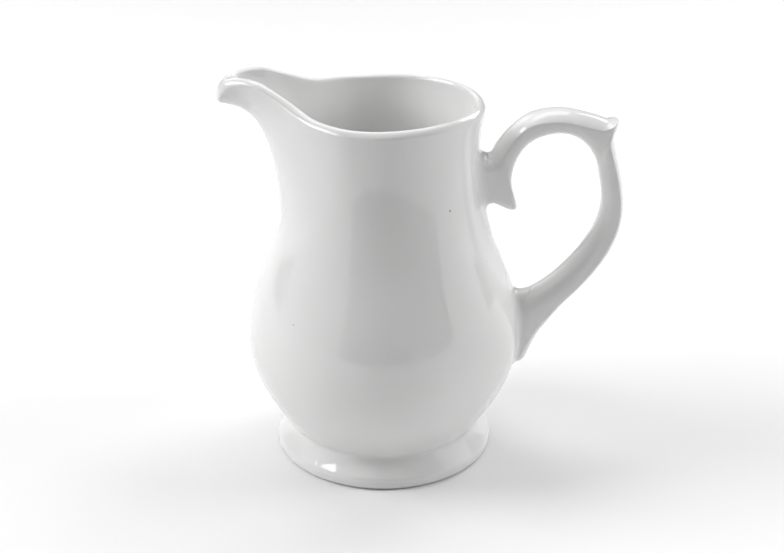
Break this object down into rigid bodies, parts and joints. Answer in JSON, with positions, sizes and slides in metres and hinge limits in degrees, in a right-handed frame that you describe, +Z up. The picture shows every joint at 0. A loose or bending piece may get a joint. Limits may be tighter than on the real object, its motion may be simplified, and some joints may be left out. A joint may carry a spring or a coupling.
{
  "type": "cream jug",
  "caption": "Small white porcelain cream jug with a round belly, narrow neck, pulled spout, flared foot and scroll handle with a thumb rest.",
  "frame": {"origin": "on the table, under the middle of the overall length from the spout's tip to the back of the handle", "axes": "+Z up, -X out along the spout, +X out along the handle, so the vessel's own axis is upright at x = -10.6 mm"},
  "size_m": [0.1084, 0.0756, 0.1083],
  "materials": {
    "glazed_porcelain": "clear gloss glaze over white porcelain",
    "fired_slip": "matt, unglazed"
  },
  "bodies": {
    "root": {"vessel": "glazed_porcelain", "foot": "glazed_porcelain", "foot_slip": "fired_slip", "handle": "glazed_porcelain", "upper_handle_slip": "fired_slip", "lower_handle_slip": "fired_slip"}
  },
  "joints": []
}
